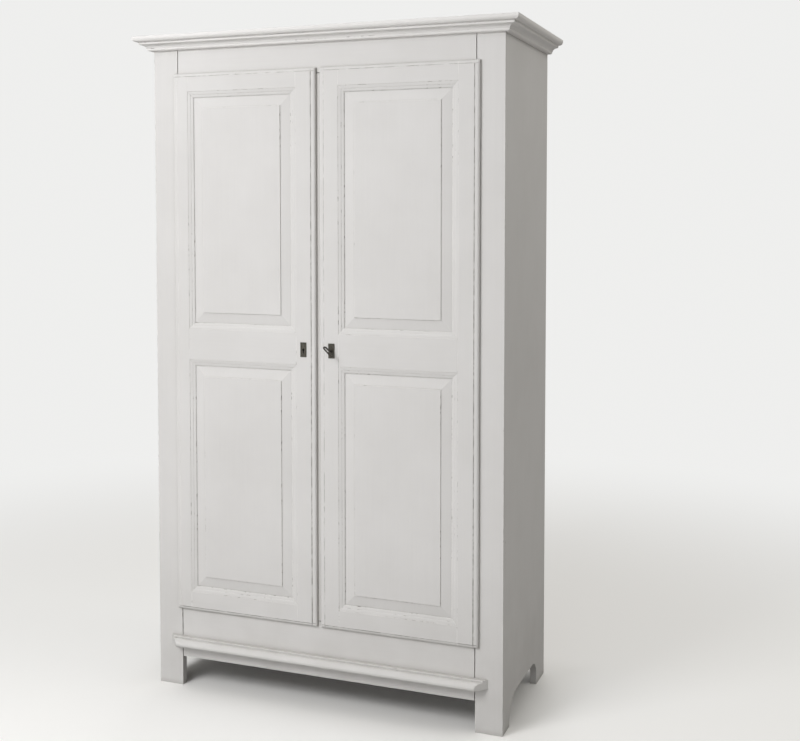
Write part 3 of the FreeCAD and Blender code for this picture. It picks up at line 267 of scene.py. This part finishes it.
# Hinge screws: the leaves' middles from the nodes' ends, steps from them, and depths
LEAF_MIDDLE = 25 * MM
LEAF_STEPS = (-17 * MM, 0, 17 * MM)
FRAME_SCREW_DEPTH = -208.2 * MM
DOOR_SCREW_DEPTH = -212.4 * MM
DOOR_LEAF_THICKNESS = 1.2 * MM

# Lock and bolt screws: insets from the ends of what they hold, and a guide's flange
CASE_INSET = 6 * MM
KEEPER_SIDE_INSET, KEEPER_END_INSET = 4.6 * MM, 5 * MM
GUIDE_SIDE_INSET, GUIDE_END_INSET, GUIDE_FLANGE = 3.8 * MM, 20 * MM, 2 * MM
PLATE_INSET = 4.5 * MM

# The keyhole's dark ground: eye, half slot, drop, steps and depths
HOLE_RADIUS, HOLE_SLOT, HOLE_DROP = 4.0 * MM, 2.1 * MM, 10.4 * MM
HOLE_STEPS = 20
HOLE_DEPTHS = (-0.2 * MM, 0.5 * MM)

GRAIN_AXES = {"upright": 2, "level": 0, "deep": 1}

# The way the grain runs in each node that isn't upright
LEVEL_WORDS = ("rail", "moulding", "front_cornice", "floor_board", "top_board", "hat_shelf",
               "back_batten")
DEEP_WORDS = ("left_cornice", "right_cornice", "floor_batten", "shelf_batten")


class Graph:
    """The nodes of one material or world, added by short calls."""

    def __init__(self, owner):
        self.owner = owner
        owner.use_nodes = True
        self.tree = owner.node_tree
        self.shader = self.tree.nodes.get("Principled BSDF")
        self.coordinates = self.add("ShaderNodeTexCoord").outputs
        self.place = self.coordinates["Object"]

    def add(self, kind, inputs=None, **settings):
        """A new node with its settings, and its inputs linked or set."""
        node = self.tree.nodes.new(kind)
        for key, value in settings.items():
            setattr(node, key, value)
        for key, value in (inputs or {}).items():
            self.feed(node.inputs[key], value)
        return node

    def feed(self, socket, value):
        """Link an output to a socket, or set the socket to a value."""
        if isinstance(value, bpy.types.NodeSocket):
            self.tree.links.new(value, socket)
        else:
            socket.default_value = value

    def maths(self, operation, first, second=0.0):
        """One Math node."""
        node = self.add("ShaderNodeMath", {0: first, 1: second}, operation=operation)
        return node.outputs[0]

    def product(self, first, *others):
        """Values multiplied together."""
        for other in others:
            first = self.maths("MULTIPLY", first, other)
        return first

    def length(self, vector):
        """The length of a vector."""
        node = self.add("ShaderNodeVectorMath", {0: vector}, operation="LENGTH")
        return node.outputs["Value"]

    def axes(self):
        """The three object coordinates."""
        return self.add("ShaderNodeSeparateXYZ", {0: self.place}).outputs

    def stretched(self, scales, shift=(0, 0, 0)):
        """Object coordinates, scaled on each axis and shifted."""
        node = self.add("ShaderNodeMapping", {"Vector": self.place, "Scale": scales, "Location": shift})
        return node.outputs[0]

    def texture(self, vector, scale, detail, rough, distortion=0.0):
        """A noise value from 0 to 1."""
        node = self.add("ShaderNodeTexNoise", {
            "Vector": vector, "Scale": scale, "Detail": detail,
            "Roughness": rough, "Distortion": distortion})
        return node.outputs["Fac"]

    def noise(self, name, vector=None):
        """One of the noises."""
        return self.texture(vector or self.place, *NOISES[name])

    def grain(self, name, direction):
        """One of the noises that are drawn out along a piece."""
        along, across, *look = GRAINS[name]
        scales = [across] * 3
        scales[GRAIN_AXES[direction]] = along
        return self.texture(self.stretched(scales), 1.0, *look)

    def between(self, value, low, high, to_low=0.0, to_high=1.0):
        """A smooth step of a value, clamped."""
        node = self.add("ShaderNodeMapRange", {
            "Value": value, "From Min": low, "From Max": high,
            "To Min": to_low, "To Max": to_high}, interpolation_type="SMOOTHSTEP")
        return node.outputs[0]

    def step(self, name, value):
        """One of the steps."""
        return self.between(value, *STEPS[name])

    def mix(self, share, first, second):
        """One colour mixed towards another."""
        node = self.add("ShaderNodeMix", data_type="RGBA")
        colours = [item for item in node.inputs if item.type == "RGBA"]
        self.feed(node.inputs[0], share)
        self.feed(colours[0], first)
        self.feed(colours[1], second)
        return [item for item in node.outputs if item.type == "RGBA"][0]

    def rounded(self, radius):
        """The surface's normal with its edges rounded."""
        return self.add("ShaderNodeBevel", {"Radius": radius}, samples=BEVEL_SAMPLES).outputs[0]

    def edges(self, radius):
        """A value that is 0 on a flat and rises towards an edge."""
        flat = self.add("ShaderNodeNewGeometry").outputs["Normal"]
        dot = self.add("ShaderNodeVectorMath", {0: self.rounded(radius), 1: flat},
                       operation="DOT_PRODUCT").outputs["Value"]
        return self.maths("SUBTRACT", 1.0, dot)

    def hollows(self, distance):
        """A value that is 0 in the open and rises in a corner."""
        node = self.add("ShaderNodeAmbientOcclusion", {"Distance": distance}, samples=CORNER_SAMPLES)
        return self.maths("SUBTRACT", 1.0, node.outputs["AO"])

    def seen_rays(self):
        """A value that is 1 for the rays that see the background and 0 for those that light."""
        path = self.add("ShaderNodeLightPath").outputs
        seen = self.maths("MAXIMUM", path["Is Camera Ray"], path["Is Glossy Ray"])
        return self.maths("MAXIMUM", seen, path["Is Transmission Ray"])

    def show(self, colour, rough, constants):
        """Wire the shader's colour and roughness, and set its constants."""
        self.feed(self.shader.inputs["Base Color"], colour)
        self.feed(self.shader.inputs["Roughness"], rough)
        for key, value in constants.items():
            self.shader.inputs[key].default_value = value

    def bump(self, radius, bumps):
        """Stack bumps on the rounded normal."""
        normal = self.rounded(radius)
        for name, height in bumps:
            strength, depth = BUMPS[name]
            normal = self.add("ShaderNodeBump", {
                "Height": height, "Strength": strength, "Distance": depth,
                "Normal": normal}).outputs[0]
        self.feed(self.shader.inputs["Normal"], normal)


def material_graph(name):
    """The graph of a new material."""
    return Graph(bpy.data.materials.new(name))


def quirk_lines(graph):
    """A value that is 1 in the quirks that run round the doors' faces."""
    place = graph.axes()
    lines = 0.0
    for axis, middle in QUIRKS:
        away = graph.maths("ABSOLUTE", graph.maths("SUBTRACT", place[axis], middle))
        line = graph.between(away, QUIRK_HALF * QUIRK_CORE, QUIRK_HALF, 1.0, 0.0)
        lines = graph.maths("MAXIMUM", lines, line)
    front = graph.step("door_front", place[1])
    on_door = graph.product(graph.step("above_door_foot", place[2]),
                            graph.step("below_door_head", place[2]))
    return graph.product(lines, front, on_door)


def paint_looks(graph, direction, seam_darkening=FRAME_SEAM_DARKENING):
    """Chalky off-white paint with brush marks and chips, painted highlights on its edges, and soiling
    and painted shade low down, in corners and along its lines.
    """
    height = graph.axes()[2]
    strokes = graph.grain("strokes", direction)
    tone = graph.maths("ADD", graph.step("cloud_tone", graph.noise("clouds")),
                       graph.step("stroke_tone", strokes))
    colour = graph.mix(tone, PAINT_LIGHT, PAINT_DARK)

    # Dust and painted shade: the paint darker towards the floor, in patches
    dust_and_shade = graph.product(graph.step("darker_towards_floor", height),
                         graph.step("dust_patches", graph.noise("dust_and_shade")))
    colour = graph.mix(dust_and_shade, colour, SHADE_AND_DUST_PAINT)

    # Painted highlight: edges lightened in patches
    edge = graph.edges(HIGHLIGHT_AND_CHIP_REACH)
    edge_highlight = graph.product(graph.step("highlight_edge", edge),
                           graph.step("highlight_patches", graph.noise("highlight_noise")))
    colour = graph.mix(edge_highlight, colour, PAINT_HIGHLIGHT)

    # Painted light on the cornice: its paint is lifted towards the highlight colour, and it takes less
    # of the painted shade and seam darkening than what is below it
    below_cornice = graph.step("cornice_height_step", height)
    colour = graph.mix(graph.step("cornice_painted_light", below_cornice), colour, PAINT_HIGHLIGHT)
    # Painted shade: the paint darkened in corners, where they are occluded
    painted_shade = graph.product(graph.step("corner_painted_shade", graph.hollows(CORNER_SHADE_REACH)), below_cornice)
    colour = graph.mix(painted_shade, colour, SHADE_AND_DUST_PAINT)

    # Dirt and painted shade: seams and creases darkened where they are occluded, and along the doors'
    # quirks
    seam_soiling_and_shade = graph.product(graph.between(graph.hollows(SEAM_REACH), *SEAM_RANGE, 0.0, seam_darkening),
                          graph.step("seam_patches", graph.noise("seam_soiling_and_shade")),
                          graph.step("seam_height", height), below_cornice)
    ragged = graph.product(graph.step("quirk_patches", graph.noise("quirks")),
                           graph.step("quirk_height", height))
    seam_soiling_and_shade = graph.maths("MAXIMUM", seam_soiling_and_shade, graph.product(quirk_lines(graph), ragged))
    colour = graph.mix(seam_soiling_and_shade, colour, SEAM_SOILING_AND_SHADE)

    moved = graph.stretched((1, 1, 1), CHIP_SHIFT)
    chips = graph.product(graph.step("chip_edge", edge),
                          graph.step("chip_breaks", graph.noise("chip_breaks", moved)),
                          graph.step("chip_patches", graph.noise("chip_patches", moved)))
    specks = graph.product(graph.step("specks", graph.noise("specks", moved)),
                           graph.step("speck_edge", graph.edges(SPECK_REACH)))
    chips = graph.maths("MAXIMUM", chips, specks)
    colour = graph.mix(chips, colour, BARE_CHIP)

    bumps = [("waves", graph.grain("waves", direction)), ("strokes", strokes),
             ("chips", graph.maths("SUBTRACT", 0.0, chips))]
    return colour, graph.step("paint_roughness", strokes), bumps


def nails(graph):
    """A value that is 1 on the nail heads of the back boards."""
    place = graph.axes()
    cell = graph.maths("ADD", place[0], NAIL_START)
    cell = graph.maths("FRACT", graph.product(cell, 1 / NAIL_PITCH))
    across = graph.product(graph.maths("SUBTRACT", cell, 0.5), NAIL_PITCH)
    first, *others = [graph.maths("ABSOLUTE", graph.maths("SUBTRACT", place[2], height))
                      for height in NAIL_HEIGHTS]
    for other in others:
        first = graph.maths("MINIMUM", first, other)
    away = graph.add("ShaderNodeCombineXYZ", {0: across, 1: first}).outputs[0]
    return graph.step("nail_head", graph.length(away))


def pine_looks(graph, direction, nailed=False):
    """Waxed softwood with grain along the piece, and painted shade below the floor board."""
    place = graph.axes()
    rings = graph.product(graph.grain("rings", direction), RING_COUNT)
    rings = graph.step("rings", graph.maths("FRACT", rings))
    fibres = graph.grain("fibres", direction)
    colour = graph.mix(graph.product(rings, RING_TONE), PINE_LIGHT, PINE_DARK)
    colour = graph.mix(graph.step("fibre_tone", fibres), colour, PINE_DARK)
    colour = graph.mix(graph.step("stains", graph.noise("stains")), colour, STAIN_AND_SHADE_PINE)
    # Painted shade: the pine darker in its corners, where they are occluded
    corner = graph.step("pine_hollow_shade", graph.hollows(PINE_SHADE_REACH))
    colour = graph.mix(corner, colour, STAIN_AND_SHADE_PINE)
    bumps = [("fibres", fibres), ("rings", rings)]
    if nailed:
        heads = nails(graph)
        colour = graph.mix(heads, colour, IRON_BROWN)
        bumps.append(("nails", heads))
    # Painted shade: the pine dark below the floor board, within the back
    under = graph.product(graph.step("below_floor_board", place[2]),
                          graph.step("inside_back", place[1]))
    colour = graph.mix(under, colour, UNDERSIDE_SHADE)
    return colour, graph.step("pine_roughness", fibres), bumps


def paint(name, direction, seam_darkening=FRAME_SEAM_DARKENING):
    """The painted finish with its strokes along a piece."""
    graph = material_graph(name)
    colour, rough, bumps = paint_looks(graph, direction, seam_darkening)
    graph.show(colour, rough, PAINT_SHEEN)
    graph.bump(PAINT_ROUNDING, bumps)
    return graph.owner


def pine(name, direction, nailed=False):
    """The bare finish with its grain along a piece."""
    graph = material_graph(name)
    colour, rough, bumps = pine_looks(graph, direction, nailed)
    graph.show(colour, rough, PINE_SHEEN)
    graph.bump(PINE_ROUNDING, bumps)
    return graph.owner


def half_painted():
    """A side of the carcass: painted outside and on its edges, bare within."""
    graph = material_graph("half_painted")
    outer = graph.step("side_outside", graph.maths("ABSOLUTE", graph.axes()[0]))
    colour, rough, bumps = paint_looks(graph, "upright")
    bare = pine_looks(graph, "upright")[0]
    graph.show(graph.mix(outer, bare, colour), rough, PAINT_SHEEN)
    graph.bump(PAINT_ROUNDING, bumps)
    return graph.owner


def iron(name, share):
    """Old dark iron: mottled, darker along its edges."""
    graph = material_graph(name)
    cloud = graph.noise("mottle")
    mottle = graph.product(graph.between(cloud, *MOTTLE_RANGE, 0.0, share),
                           graph.step("iron_edge", graph.edges(IRON_EDGE_REACH)))
    colour = graph.mix(mottle, IRON_DARK, IRON_OLIVE)
    colour = graph.mix(graph.step("rust", graph.noise("rust")), colour, IRON_BROWN)
    graph.show(colour, graph.step("iron_roughness", cloud), IRON_SHEEN)
    graph.bump(IRON_ROUNDING, [("mottle", cloud)])
    return graph.owner


def keyhole_black():
    """Painted shade: the dark seen inside a keyhole, as a flat colour."""
    graph = material_graph("keyhole_black")
    painted_shade = graph.step("hole_shade_noise", graph.noise("hole_shade_noise"))
    graph.show(graph.mix(painted_shade, HOLE_BLACK, HOLE_EDGE), graph.step("hole_roughness", painted_shade),
               HOLE_SHEEN)
    return graph.owner


def dull_steel():
    """Dull steel with fine scratches."""
    graph = material_graph("dull_steel")
    scratches = graph.texture(graph.stretched(SCRATCH_SCALES), 1.0, *SCRATCH_LOOK)
    dulled = graph.mix(graph.step("scratch_tone", scratches), STEEL, IRON_BROWN)
    graph.show(dulled, graph.step("steel_roughness", scratches), STEEL_SHEEN)
    graph.bump(STEEL_ROUNDING, [("scratches", scratches)])
    return graph.owner


PAINTS = {direction: paint("paint_" + direction, direction) for direction in GRAIN_AXES}
PINES = {direction: pine("pine_" + direction, direction) for direction in GRAIN_AXES}
NAILED = pine("pine_nailed", "upright", nailed=True)
HALF_PAINTED = half_painted()
PANEL_PAINT = paint("paint_panel", "upright", PANEL_SEAM_DARKENING)
PLATE_IRON = iron("mottled_iron", PLATE_MOTTLE)
IRON = iron("dark_iron", IRON_MOTTLE)
BLANK = keyhole_black()
BRIGHT = dull_steel()


def grain_of(name):
    """The direction in which a node's grain runs."""
    if any(word in name for word in DEEP_WORDS):
        return "deep"
    if any(word in name for word in LEVEL_WORDS) and "socket" not in name:
        return "level"
    return "upright"


def dress_nodes():
    """Give every carried-over node its finish."""
    slots = {row["node"]: row["material_slot"] for row in frame["record"]["subparts"]}
    for name, item in frame["nodes"].items():
        grain = grain_of(name)
        finish = {
            "painted_wood": PAINTS[grain],
            "painted_steel": PAINTS["upright"],
            "bare_wood": PINES[grain],
            "black_iron": IRON,
            "bright_steel": BRIGHT,
        }[slots[name]]
        if name == "back_boards":
            finish = NAILED
        if "side_panel" in name:
            finish = HALF_PAINTED
        if name.endswith(("upper_panel", "lower_panel")):
            finish = PANEL_PAINT
        if "escutcheon" in name:
            finish = PLATE_IRON
        item.data.materials.clear()
        item.data.materials.append(finish)


def new_piece(name, shape, finish, body):
    """Turn a bmesh into a piece that rides on a body."""
    bmesh.ops.recalc_face_normals(shape, faces=shape.faces)
    mesh = bpy.data.meshes.new(name)
    shape.to_mesh(mesh)
    shape.free()
    mesh.materials.append(finish)
    item = bpy.data.objects.new(name, mesh)
    bpy.context.scene.collection.objects.link(item)
    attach(item, body)
    return item


def join_rings(shape, lower, upper):
    """Faces between two rings of corners."""
    for index in range(len(lower)):
        after = (index + 1) % len(lower)
        shape.faces.new((lower[index], lower[after], upper[after], upper[index]))


def raise_outline(shape, outline, low, high, turn):
    """A prism from an outline in a plane of its own, turned into place."""
    rings = [[shape.verts.new(turn @ Vector((u, v, height))) for u, v in outline]
             for height in (low, high)]
    shape.faces.new(rings[0])
    shape.faces.new(rings[1])
    join_rings(shape, *rings)


def circle_part(radius, first, last, steps):
    """Points on a circle between two angles."""
    return [(radius * math.cos(first + (last - first) * step / steps),
             radius * math.sin(first + (last - first) * step / steps)) for step in range(steps + 1)]


def whole_circle(radius, points):
    """Points round a whole circle."""
    return circle_part(radius, 0, 2 * math.pi * (points - 1) / points, points - 1)


def facing_turn(place, facing):
    """The turn that sets a head on its place, facing a way."""
    return Matrix.Translation(place) @ Vector(facing).to_track_quat("Z", "Y").to_matrix().to_4x4()


def screw_head(shape, place, facing, radius, height, slot_turn):
    """A slotted screw head: two halves that stand on a disc."""
    turn = facing_turn(place, facing) @ Matrix.Rotation(slot_turn, 4, "Z")
    for start in (0, math.pi):
        half = circle_part(radius, start + SLOT_LEAN, start + math.pi - SLOT_LEAN, HALF_STEPS)
        crown = [(u * CROWN_ACROSS, v * CROWN_ALONG + math.copysign(radius * CROWN_SHIFT, v))
                 for u, v in half]
        raise_outline(shape, half, 0, height * RIM_SHARE, turn)
        raise_outline(shape, crown, height * RIM_SHARE, height, turn)
    disc = whole_circle(radius * DISC_SHARE, DISC_STEPS)
    raise_outline(shape, disc, -height, height * DISC_RISE, turn)


def pin_head(shape, place, facing, radius, height):
    """A domed pin head, turned from a short profile."""
    turn = facing_turn(place, facing)
    rings = [[shape.verts.new(turn @ Vector((u, v, height * rise)))
              for u, v in whole_circle(radius * share, PIN_STEPS)] for share, rise in PIN_PROFILE]
    for lower, upper in zip(rings, rings[1:]):
        join_rings(shape, lower, upper)
    shape.faces.new(rings[0])
    shape.faces.new(rings[-1])


def screws(name, kind, places, facing, finish, body):
    """A set of screw heads as one piece."""
    shape = bmesh.new()
    for index, place in enumerate(places):
        slot_turn = FIRST_SLOT_TURN + NEXT_SLOT_TURN * index
        screw_head(shape, Vector(place), facing, *SCREWS[kind], slot_turn)
    new_piece(name, shape, finish, body)


def inset(low, high, axis, amount):
    """The two places on an axis that lie inside a box by an amount."""
    return low[axis] + amount, high[axis] - amount


def hinge_screws():
    """Three painted screws in each leaf."""
    for side, word in ((-1, "left"), (1, "right")):
        low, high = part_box(word + "_frame_leaves")
        heights = [middle + step for middle in inset(low, high, 2, LEAF_MIDDLE) for step in LEAF_STEPS]
        across = side * min(abs(low[0]), abs(high[0]))
        screws(word + "_frame_hinge_screws", "frame_hinge",
               [(across, FRAME_SCREW_DEPTH, height) for height in heights],
               (-side, 0, 0), PAINTS["upright"], "carcass")
        low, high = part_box(word + "_door_leaves")
        across = side * (min(abs(low[0]), abs(high[0])) + DOOR_LEAF_THICKNESS)
        screws(word + "_door_hinge_screws", "door_hinge",
               [(across, DOOR_SCREW_DEPTH, height) for height in heights],
               (side, 0, 0), PAINTS["upright"], word + "_door")


def lock_screws():
    """Screws of the lock case, its keeper, the guides and the keeper plates."""
    low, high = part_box("lock_case")
    places = [(x, high[1], z) for x in inset(low, high, 0, CASE_INSET)
              for z in inset(low, high, 2, CASE_INSET)]
    screws("lock_case_screws", "lock_case", places, (0, 1, 0), IRON, "right_door")
    low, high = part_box("lock_keeper")
    places = [(low[0] + KEEPER_SIDE_INSET, high[1], z)
              for z in inset(low, high, 2, KEEPER_END_INSET)]
    screws("lock_keeper_screws", "lock_keeper", places, (0, 1, 0), IRON, "left_door")
    for word, face, way in (("upper", 0, (0, 0, -1)), ("lower", 1, (0, 0, 1))):
        low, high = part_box(word + "_bolt_guide")
        places = [(x, low[1] + GUIDE_FLANGE, z) for x in inset(low, high, 0, GUIDE_SIDE_INSET)
                  for z in inset(low, high, 2, GUIDE_END_INSET)]
        screws(word + "_guide_screws", "guide", places, (0, 1, 0), IRON, "left_door")
        low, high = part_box(word + "_bolt_keeper")
        middle = (low[1] + high[1]) / 2
        places = [(x, middle, (low, high)[face][2]) for x in inset(low, high, 0, PLATE_INSET)]
        screws(word + "_keeper_screws", "keeper", places, way, IRON, "carcass")


def escutcheon_pins():
    """Small domed pins at the top and foot of each escutcheon."""
    for word in ("left", "right"):
        low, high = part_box(word + "_escutcheon")
        middle = (low[0] + high[0]) / 2
        shape = bmesh.new()
        for z in inset(low, high, 2, PIN_INSET):
            pin_head(shape, Vector((middle, low[1], z)), (0, -1, 0), PIN_RADIUS, PIN_HEIGHT)
        item = new_piece(word + "_escutcheon_pins", shape, IRON, word + "_door")


def keyhole_shade_plate():
    """A dark plate of painted shade, seen through the left escutcheon's keyhole."""
    low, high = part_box("left_escutcheon")
    x = (low[0] + high[0]) / 2
    z = (low[2] + high[2]) / 2
    lean = math.asin(HOLE_SLOT / HOLE_RADIUS)
    eye = circle_part(HOLE_RADIUS, -math.pi / 2 + lean, 3 * math.pi / 2 - lean, HOLE_STEPS)
    outline = eye + [(-HOLE_SLOT, -HOLE_DROP), (HOLE_SLOT, -HOLE_DROP)]
    shape = bmesh.new()
    turn = Matrix.Translation((x, high[1], z)) @ Matrix.Rotation(math.pi / 2, 4, "X")
    raise_outline(shape, outline, *HOLE_DEPTHS, turn)
    item = new_piece("left_keyhole_shade_plate", shape, BLANK, "left_door")


def lamps():
    """Square soft lamps, hidden from the camera."""
    for name, (place, aim, size, power, colour) in LAMPS.items():
        data = bpy.data.lights.new(name, "AREA")
        data.shape = "SQUARE"
        data.size = size
        data.energy = power
        data.color = colour
        light = bpy.data.objects.new(name, data)
        light.location = place
        light.visible_camera = False
        light.rotation_euler = (Vector(aim) - Vector(place)).to_track_quat("-Z", "Y").to_euler()
        bpy.context.scene.collection.objects.link(light)


def world():
    """A world that lights more from overhead, and is seen as a pale backdrop."""
    graph = Graph(bpy.data.worlds.new("studio"))
    bpy.context.scene.world = graph.owner
    aloft = graph.add("ShaderNodeSeparateXYZ", {0: graph.coordinates["Generated"]}).outputs[2]
    low, high = WORLD_STRENGTHS
    rise = graph.add("ShaderNodeMapRange", {"Value": aloft, "To Min": low, "To Max": high})
    lamp = graph.tree.nodes["Background"]
    graph.feed(lamp.inputs["Color"], WORLD_COLOUR)
    graph.feed(lamp.inputs["Strength"], rise.outputs[0])
    seen = graph.add("ShaderNodeBackground", {"Color": BACKDROP, "Strength": 1.0})
    mixed = graph.add("ShaderNodeMixShader", {
        0: graph.seen_rays(), 1: lamp.outputs[0], 2: seen.outputs[0]})
    graph.feed(graph.tree.nodes["World Output"].inputs["Surface"], mixed.outputs[0])


def floor():
    """A pale round floor that fades into the background."""
    mesh = bpy.data.meshes.new("floor")
    shape = bmesh.new()
    bmesh.ops.create_circle(shape, cap_ends=True, segments=FLOOR_SEGMENTS, radius=FLOOR_RADIUS)
    shape.to_mesh(mesh)
    shape.free()
    item = bpy.data.objects.new("floor", mesh)
    bpy.context.scene.collection.objects.link(item)
    graph = material_graph("pale_floor")
    seen = graph.seen_rays()
    graph.show(graph.mix(seen, FLOOR, FLOOR_SEEN), FLOOR_ROUGHNESS, FLOOR_SHEEN)
    plan = graph.axes()
    beyond = [graph.maths("SUBTRACT", graph.maths("ABSOLUTE", plan[axis]), half)
              for axis, half in enumerate(PLAN_HALVES)]
    outside = graph.step("outside_plan", graph.maths("MAXIMUM", *beyond))
    fade = graph.product(graph.step("floor_fade", graph.length(graph.place)), seen, outside)
    glow = graph.add("ShaderNodeEmission", {"Color": BACKDROP, "Strength": 1.0}).outputs[0]
    mixed = graph.add("ShaderNodeMixShader", {0: fade, 1: graph.shader.outputs[0], 2: glow})
    graph.feed(graph.tree.nodes["Material Output"].inputs["Surface"], mixed.outputs[0])
    item.data.materials.append(graph.owner)


def camera():
    """The photograph's camera."""
    data = bpy.data.cameras.new("camera")
    data.lens = CAMERA_LENS
    data.sensor_width = CAMERA_SENSOR
    data.shift_y = CAMERA_SHIFT
    item = bpy.data.objects.new("camera", data)
    item.location = CAMERA_PLACE
    upright = Matrix.Rotation(math.pi / 2 - CAMERA_TILT, 4, "X")
    turned = Matrix.Rotation(CAMERA_TURN, 4, "Z") @ upright
    item.rotation_euler = turned.to_euler()
    bpy.context.scene.collection.objects.link(item)
    bpy.context.scene.camera = item


dress_nodes()
hinge_screws()
lock_screws()
escutcheon_pins()
keyhole_shade_plate()
floor()
lamps()
world()
camera()
bpy.context.scene.view_settings.view_transform = "Standard"
